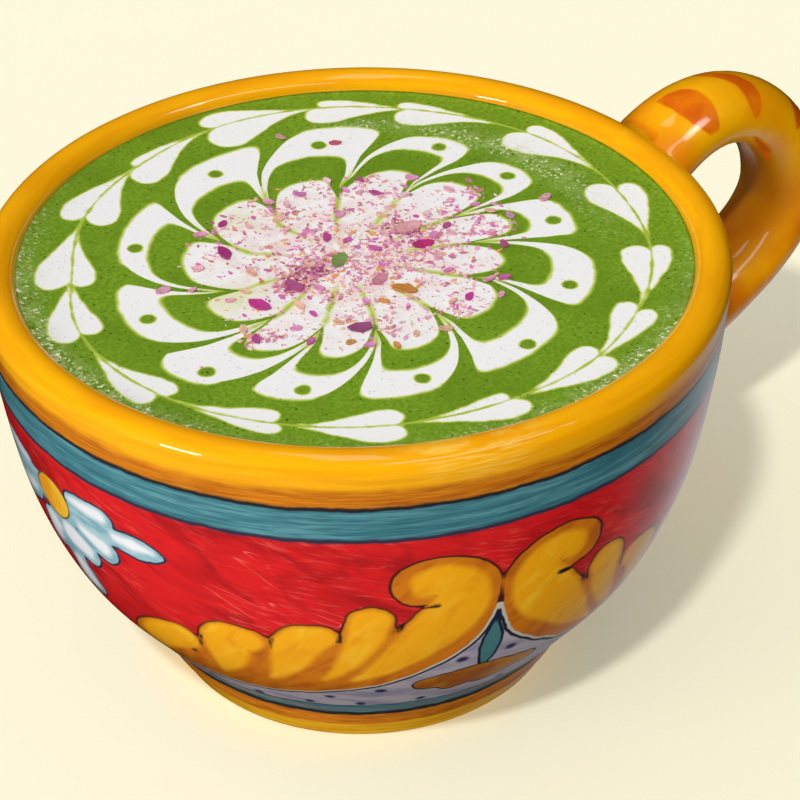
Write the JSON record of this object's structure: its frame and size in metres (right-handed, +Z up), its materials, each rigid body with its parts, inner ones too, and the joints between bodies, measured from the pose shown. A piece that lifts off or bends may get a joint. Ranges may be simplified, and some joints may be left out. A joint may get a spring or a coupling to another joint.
{
  "type": "matcha latte",
  "caption": "Matcha latte with marbled milk-foam flower and petal flakes, in a wide hand-painted ceramic cup with a looped handle.",
  "frame": {"origin": "middle of the cup's flat base, on the cup's axis, where it rests", "axes": "+Z up along the cup's axis; +X from the axis towards the handle"},
  "size_m": [0.1619, 0.12, 0.0774],
  "materials": {
    "glazed_ceramic": "glossy glaze",
    "matcha_foam": "moist, fine foam"
  },
  "bodies": {
    "root": {"cup": "glazed_ceramic", "matcha_latte": "matcha_foam"}
  },
  "joints": []
}
